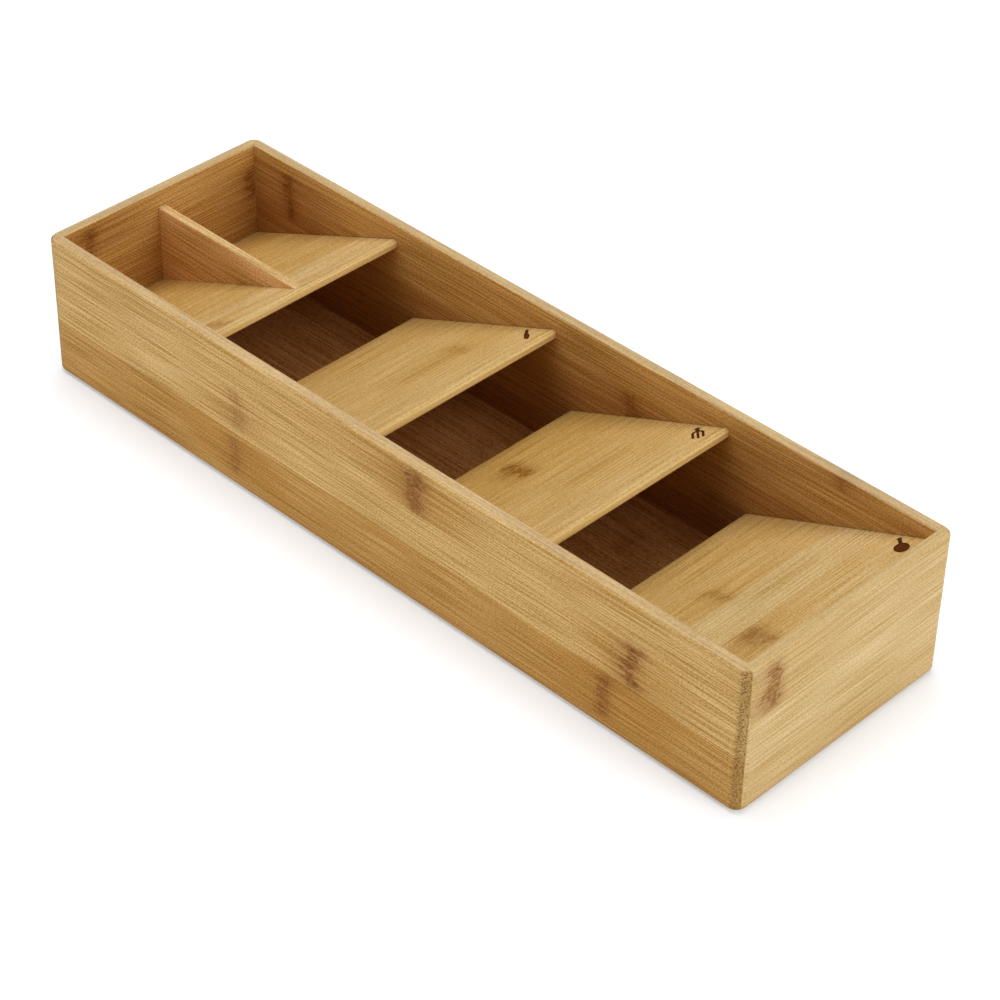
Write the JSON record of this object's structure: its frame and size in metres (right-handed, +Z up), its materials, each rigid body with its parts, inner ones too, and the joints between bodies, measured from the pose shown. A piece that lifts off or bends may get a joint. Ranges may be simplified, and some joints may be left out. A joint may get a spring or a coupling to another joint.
{
  "type": "cutlery tray",
  "caption": "Long open box of laminated bamboo boards with overlapping sloped shelves that hold cutlery in tiers, and a divided shelf for small pieces.",
  "frame": {"origin": "under the tray's centre, on the surface that the foot pads stand on", "axes": "+X along the tray towards its front end, +Y across it towards its right wall, +Z up"},
  "size_m": [0.4, 0.12, 0.07],
  "materials": {
    "bamboo_walls": "satin oiled bamboo, fibres along each board",
    "bamboo_base": "satin oiled bamboo, fibres along the tray",
    "bamboo_ramps": "satin oiled bamboo, fibres across the tray",
    "bamboo_divider": "satin oiled bamboo, fibres along the tray",
    "pad_silicone": "matt translucent grey silicone"
  },
  "bodies": {
    "root": {"side_wall_left": "bamboo_walls", "side_wall_right": "bamboo_walls", "end_wall_rear": "bamboo_walls", "end_wall_front": "bamboo_walls", "base_panel": "bamboo_base", "ramp_small_cutlery": "bamboo_ramps", "ramp_knives": "bamboo_ramps", "ramp_forks": "bamboo_ramps", "ramp_spoons": "bamboo_ramps", "small_cutlery_divider": "bamboo_divider", "foot_pad_rear_left": "pad_silicone", "foot_pad_rear_right": "pad_silicone", "foot_pad_front_left": "pad_silicone", "foot_pad_front_right": "pad_silicone"}
  },
  "joints": []
}
